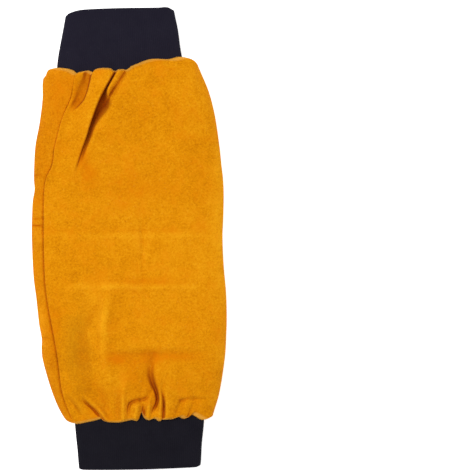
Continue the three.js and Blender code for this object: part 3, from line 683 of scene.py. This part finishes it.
def leather_rows(row_spacing):
    """Each row's share along the leather and its depth under the turned edge, as two columns."""
    roll = edge_round * (1 - np.cos(np.linspace(0, np.pi / 2, edge_rows)[:-1]))
    dense = np.linspace(edge_round, leather_length - edge_round, 4000)
    spacing = smooth(row_spacing, (wrist_seam_y + dense) / mm) * mm
    passed = np.cumsum((dense[1] - dense[0]) / spacing)
    body = np.interp(np.linspace(passed[0], passed[-1], round(passed[-1])), passed, dense)
    seat = seat_depth * np.array(seat_shares)
    along = np.concatenate([0 * seat, roll, body, leather_length - roll[::-1], 0 * seat + leather_length])
    depth = np.concatenate([seat, 0 * roll, 0 * body, 0 * roll, seat[::-1]])
    return along[:, None] / leather_length, depth[:, None]


def even_turns(first, last, along, depth, columns):
    """Turns of a panel's columns at each row, evenly spaced down into its folds too."""
    turn = first + (last - first) * np.linspace(0, 1, 900)
    rolled = 1.2 * edge_round / leather_length
    points, _ = leather_points(turn, np.clip(along, rolled, 1 - rolled), 0 * depth)
    steps = np.linalg.norm(np.diff(points, axis=1), axis=-1)
    gone = np.cumsum(steps, axis=1)
    to_seam = np.minimum(gone, gone[:, -1:] - gone)
    steps = steps * np.where(np.mod(turn[:, 1:], 4) > 2.1, kept_underneath, 1)
    steps = steps * (1 + crowding * np.exp(-to_seam / crowding_reach))
    length = np.concatenate([np.zeros((len(steps), 1)), np.cumsum(steps, axis=1)], axis=1)
    share = np.linspace(0, 1, columns)
    even = np.array([np.interp(share * row[-1], row, turns) for row, turns in zip(length, turn)])
    kernel = np.array([0.06, 0.24, 0.4, 0.24, 0.06])
    padded = np.pad((even - first) / (last - first), ((2, 2), (0, 0)), mode="edge")
    softened = sum(weight * padded[k : k + len(even)] for k, weight in enumerate(kernel))
    return first + (last - first) * softened


def seam_turns(along):
    """Turns of the front seam, up on the left, and of the back seam, under the right side."""
    left, right = leather_section(along)[:2]
    y = wrist_seam_y + along * leather_length
    front_inset = smooth(seam_line, (y + edge_sway(left, 0.8, along)) / mm) * mm - left
    half = (right - left) / 2
    front_inset = np.maximum(front_inset, least_seam_inset)
    front = 2 * np.arccos((1 - front_inset / half) ** (top_fullness / 2)) / np.pi
    back = 2 + 2 * np.arccos((1 - back_seam_inset / half) ** (base_fullness / 2)) / np.pi
    return front, back


def eased(values, times):
    """A grid of values again, each one averaged with its neighbours a number of times."""
    for _ in range(times):
        wide = np.pad(values, 1, mode="edge")
        values = (wide[:-2, 1:-1] + wide[2:, 1:-1] + wide[1:-1, :-2] + wide[1:-1, 2:] + values) / 5
    return values


def nap_values(points, relief, on_top, from_end):
    """How far each point is sunk or stands above the leather around it, and its painted light and shade."""
    x, y, relief = points[..., 0] / mm, points[..., 1] / mm, relief / mm
    darker, warmer = np.zeros(x.shape), np.zeros(x.shape)
    for across, along, reach_x, reach_y, dark, warm in shade_and_tone_patches.values():
        near = np.exp(-(((x - across) / reach_x) ** 2) - ((y - along) / reach_y) ** 2) * on_top
        darker += dark * near
        warmer += warm * near
    # The rolled ends, sunk places, steep flanks and crests carry painted highlights and painted shade.
    rolled = 1 - np.minimum(1, from_end / edge_round) + 0 * x
    crest = relief - eased(relief, times=30)
    step = np.linalg.norm(np.gradient(points, axis=1), axis=-1) / mm
    steep = np.abs(np.gradient(relief, axis=1)) / step * np.clip((1 - relief) / 3, 0, 1)
    values = {"crest": crest, "sunk": -relief, "steep": steep, "darker": darker, "warmer": warmer}
    return {**values, "turned": rolled}


def panel_points(first, last, dips, steps, along, depth, columns):
    """Points of one panel, with its edges rolled down into the seams and turned in, and its nap values."""
    turn = even_turns(first, last, along, depth, columns)
    points, relief = leather_points(turn, along, depth)
    from_end = np.minimum(along, 1 - along) * leather_length
    values = nap_values(points, relief, np.mod(turn, 4) <= 2, from_end)
    across = np.gradient(points, axis=1)
    lengthways = np.gradient(points, axis=0)
    outward = np.cross(across, lengthways)
    outward /= np.linalg.norm(outward, axis=-1, keepdims=True)
    gaps = np.linalg.norm(np.diff(points, axis=1), axis=-1)
    travelled = np.concatenate([np.zeros((len(gaps), 1)), np.cumsum(gaps, axis=1)], axis=1)
    on_body = (depth == 0) * np.minimum(1, from_end / (6 * mm))
    for from_seam, dip, step in zip((travelled, travelled[:, -1:] - travelled), dips, steps):
        raised = step * np.exp(-((from_seam / step_reach) ** 2))
        sunk = dip * np.exp(-((from_seam / dip_reach) ** dip_sharpness))
        points += outward * ((raised - sunk) * on_body)[..., None]
    inside = np.clip((from_end - cuff_tuck) / cuff_tuck, least_allowance, 1) * seam_allowance
    sides = []
    for side, away in ((slice(0, 1), 1), (slice(-1, None), -1)):
        aside = across[:, side] / np.linalg.norm(across[:, side], axis=-1, keepdims=True) * away
        start = points[:, side] + aside * seam_gap / 2
        turned = [start - outward[:, side] * (inside * share)[..., None] for share in allowance_rows]
        sides.append(turned[::away])
    points = np.concatenate([*sides[0], points, *sides[1]], axis=1)
    added = ((0, 0), (len(allowance_rows), len(allowance_rows)))
    uv = np.stack([np.pad(travelled, added, mode="edge"), points[..., 1]], axis=-1)
    padded = [(name, np.pad(value, added, mode="edge")) for name, value in values.items()]
    return points, uv, padded


def suede_group():
    """Split suede: a cloudy nap with fine grain, with painted shade in its creases and patches, and painted
    highlights.
    """
    group, given, result = new_group(
        "suede nap",
        [
            ("Leather", "NodeSocketColor", (0.66, 0.22, 0.004, 1)),
            ("Brushed dark and painted shade", "NodeSocketColor", (0.5, 0.14, 0.002, 1)),
            ("Brushed light and painted highlight", "NodeSocketColor", (0.8, 0.33, 0.01, 1)),
            ("Painted crease shade", "NodeSocketColor", (0.33, 0.045, 0.0, 1)),
            ("Warm", "NodeSocketColor", (0.68, 0.17, 0.0, 1)),
            ("Olive", "NodeSocketColor", (0.5, 0.22, 0.004, 1)),
            ("Painted highlight", "NodeSocketColor", (0.85, 0.42, 0.06, 1)),
            ("Cloudiness", "NodeSocketFloat", 1.0),
            ("Grain", "NodeSocketFloat", 1.0),
        ],
        [("Color", "NodeSocketColor"), ("Roughness", "NodeSocketFloat"), ("Height", "NodeSocketFloat")],
    )

    def attribute_value(title):
        return add_node(group, "ShaderNodeAttribute", attribute_name=title).outputs["Fac"]

    position = add_node(group, "ShaderNodeTexCoord").outputs["Object"]
    crest = attribute_value("crest")
    patches = noise(group, position, scale=22.0, roughness=0.6, distortion=0.3)
    tints = noise(group, position, scale=48.0, detail=5.0, roughness=0.7)
    clouds = noise(group, position, scale=95.0, detail=4.0, roughness=0.6)
    fleck = noise(group, position, scale=520.0, roughness=0.65)
    fibre_glints = noise(group, position, scale=830.0, detail=2.0, roughness=0.7)
    fibres = noise(group, position, scale=1500.0, detail=2.0, roughness=0.6)
    uneven = calculate(group, "MULTIPLY_ADD", clouds, 1.3, -1.2)
    uneven = calculate(group, "MULTIPLY_ADD", patches, 1.1, uneven)
    uneven = calculate(group, "MULTIPLY", uneven, given.outputs["Cloudiness"])
    speckle = calculate(group, "ADD", calculate(group, "MULTIPLY_ADD", fibres, 0.8, -0.9), fleck)
    speckle = calculate(group, "MULTIPLY", speckle, given.outputs["Grain"])
    patchy = calculate(group, "MULTIPLY_ADD", clouds, 1.6, 0.2)
    # Painted shade and painted light from the patches on the nap, with their warmth.
    darker = calculate(group, "MULTIPLY", attribute_value("darker"), patchy)
    tinted = ramp(group, tints, low=0.48, high=0.72, most=0.5)
    warmer = calculate(group, "MULTIPLY_ADD", attribute_value("warmer"), patchy, tinted)
    tone_and_painted_light = calculate(group, "SUBTRACT", calculate(group, "ADD", uneven, speckle), darker)
    # Painted highlight: the nap is lighter where it stands above its surroundings.
    tone_and_painted_light = calculate(group, "ADD", tone_and_painted_light, ramp(group, crest, low=0.2, high=2.2, most=0.6))
    color = given.outputs["Leather"]
    # Each tone comes in where its value runs from the first number to the second, up to the last share.
    for tone, value, low, high, most in (
        ("Brushed light and painted highlight", tone_and_painted_light, 0.0, 1.0, 1.0),
        ("Brushed dark and painted shade", tone_and_painted_light, 0.0, -1.0, 1.0),
        ("Warm", warmer, 0.0, 1.0, 1.0),
        ("Olive", warmer, 0.0, -1.0, 1.0),
        # Painted shade in the creases: where the leather is sunk, on steep flanks and below its
        # surroundings.
        ("Painted crease shade", attribute_value("sunk"), 2.0, 11.0, 0.85),
        ("Painted crease shade", attribute_value("steep"), 0.45, 1.0, 0.75),
        ("Painted crease shade", crest, -0.5, -4.0, 0.65),
        # Painted highlights: a pale line round the rolled ends, and glints on the fibre ends.
        ("Painted highlight", attribute_value("turned"), 0.3, 0.8, 0.65),
        ("Painted highlight", fibre_glints, 0.68, 0.76, 0.6),
    ):
        share = ramp(group, value, low, high, most)
        color = blend_colors(group, share, color, given.outputs[tone])
    height = calculate(group, "MULTIPLY_ADD", fleck, 0.5, calculate(group, "MULTIPLY", fibres, 0.5))
    group.links.new(color, result.inputs["Color"])
    group.links.new(calculate(group, "MULTIPLY_ADD", fleck, 0.1, 0.86), result.inputs["Roughness"])
    group.links.new(height, result.inputs["Height"])
    return group


def suede_material(name, leather, dark, light, cloudiness, grain):
    """Matt suede with a soft sheen from its nap."""
    material = bpy.data.materials.new(name)
    material.use_nodes = True
    tree = material.node_tree
    shader = tree.nodes["Principled BSDF"]
    nap = add_node(tree, "ShaderNodeGroup", node_tree=suede)
    nap.inputs["Leather"].default_value = leather
    nap.inputs["Brushed dark and painted shade"].default_value = dark
    nap.inputs["Brushed light and painted highlight"].default_value = light
    nap.inputs["Cloudiness"].default_value = cloudiness
    nap.inputs["Grain"].default_value = grain
    fibre_ends = {"Height": nap.outputs["Height"], "Distance": 0.5 * mm, "Strength": 0.6}
    bump = add_node(tree, "ShaderNodeBump", fibre_ends)
    tree.links.new(nap.outputs["Color"], shader.inputs["Base Color"])
    tree.links.new(nap.outputs["Roughness"], shader.inputs["Roughness"])
    tree.links.new(bump.outputs[0], shader.inputs["Normal"])
    shader.inputs["Specular IOR Level"].default_value = 0.03
    shader.inputs["Sheen Weight"].default_value = 0.02
    shader.inputs["Sheen Roughness"].default_value = 0.6
    shader.inputs["Sheen Tint"].default_value = (1.0, 0.75, 0.35, 1)
    return material


suede = suede_group()
along, depth = leather_rows(front_rows)
front_seam, back_seam = seam_turns(along)
seam_y = (wrist_seam_y + along * leather_length) / mm
front_dips = [
    (-180, 1.4), (-150, 2.8), (-60, 2.8), (20, 2.4), (60, 1.9), (120, 1.4), (155, 0.8), (170, 0.4),
]
front_steps = [(-180, 0.2), (20, 0.4), (60, 1.6), (150, 2.2), (170, 1.6)]
dips = (smooth(front_dips, seam_y) * mm, hidden_dip)
steps = (smooth(front_steps, seam_y) * mm, 0.0)
points, uv, values = panel_points(front_seam, back_seam, dips, steps, along, depth, front_columns)
front = cloth_grid("front_suede_panel", points, uv, values)
give_thickness(front, leather_thickness)
front.data.materials.append(
    suede_material("golden_suede", golden, golden_dark, golden_light, cloudiness=1.1, grain=2.9)
)
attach(front, "root")
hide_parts("front_panel")

# Back panel
# The suede piece that lies on the table. It comes up round the left side as a narrow strip to the long
# seam, where the front panel's turned edge stands a little above it.
# Its suede is a little darker and more orange than the front's, partly its own tone and partly painted
# shade.
orange = (0.655, 0.218, 0.001, 1)
orange_dark = (0.49, 0.13, 0.0, 1)
orange_light = (0.79, 0.31, 0.006, 1)
# Its mesh's rows are close at the gathers and at the strip's creases.
back_rows = [
    (-181, 1.5), (-150, 1.7), (-122, 3.0), (-108, 3.0), (-102, 1.4), (-96, 1.4), (-90, 3.4), (0, 3.6),
    (8, 1.2), (25, 1.2), (33, 3.6), (54, 3.0), (59, 1.4), (67, 1.4), (73, 2.6), (110, 2.0), (172, 1.8),
]
along, depth = leather_rows(back_rows)
front_seam, back_seam = seam_turns(along)
seam_y = (wrist_seam_y + along * leather_length) / mm
back_dips = [
    (-180, 1.4), (-150, 2.6), (-60, 2.6), (20, 2.3), (60, 1.9), (120, 1.4), (155, 0.8), (170, 0.4),
]
dips = (hidden_dip, smooth(back_dips, seam_y) * mm)
steps = (0.0, 0.0)
points, uv, values = panel_points(back_seam, 4 + front_seam, dips, steps, along, depth, back_columns)
back = cloth_grid("back_suede_panel", points, uv, values)
give_thickness(back, leather_thickness)
back.data.materials.append(
    suede_material("orange_suede", orange, orange_dark, orange_light, cloudiness=1.1, grain=2.9)
)
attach(back, "root")
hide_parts("back_panel")

# Studio
# A pale table lit softly from above, with the camera straight above. The camera stands over the middle
# of a frame that is more than twice as wide as the sleeve, so the sleeve lies in its left half.
frame_width = 0.470
frame_middle = (0.1055, 0.0035)
lens = 200.0
sensor = 36.0
view_distance = 20.0
table_reach = 4.0
table_drop = 0.2 * mm
softbox_place = (-0.6, 0.6, 3.0)
softbox_size = 1.6
softbox_power = 73.5
room_light = 0.45

bm = bmesh.new()
bmesh.ops.create_grid(bm, x_segments=1, y_segments=1, size=table_reach)
bmesh.ops.translate(bm, verts=bm.verts, vec=(0, 0, -table_drop))
table_mesh = bpy.data.meshes.new("table_top")
bm.to_mesh(table_mesh)
bm.free()
table_top = bpy.data.objects.new("table_top", table_mesh)
bpy.context.scene.collection.objects.link(table_top)
white = bpy.data.materials.new("white_table")
white.use_nodes = True
shader = white.node_tree.nodes["Principled BSDF"]
shader.inputs["Base Color"].default_value = (0.93, 0.93, 0.93, 1)
shader.inputs["Roughness"].default_value = 0.9
shader.inputs["Emission Color"].default_value = (1, 1, 1, 1)
shader.inputs["Emission Strength"].default_value = 0.7
table_mesh.materials.append(white)

camera = bpy.data.objects.new("camera", bpy.data.cameras.new("camera"))
camera.data.lens = lens
camera.data.sensor_width = sensor
camera.data.clip_end = view_distance
camera.location = (*frame_middle, frame_width * lens / sensor)
bpy.context.scene.collection.objects.link(camera)
bpy.context.scene.camera = camera

softbox = bpy.data.objects.new("softbox", bpy.data.lights.new("softbox", "AREA"))
softbox.data.size = softbox_size
softbox.data.energy = softbox_power
softbox.location = softbox_place
softbox.rotation_euler = mathutils.Vector(softbox.location).to_track_quat("Z", "Y").to_euler()
bpy.context.scene.collection.objects.link(softbox)

world = bpy.data.worlds.new("soft_room")
world.use_nodes = True
background = world.node_tree.nodes["Background"]
background.inputs["Color"].default_value = (1, 1, 1, 1)
background.inputs["Strength"].default_value = room_light
bpy.context.scene.world = world
bpy.context.scene.view_settings.view_transform = "Standard"
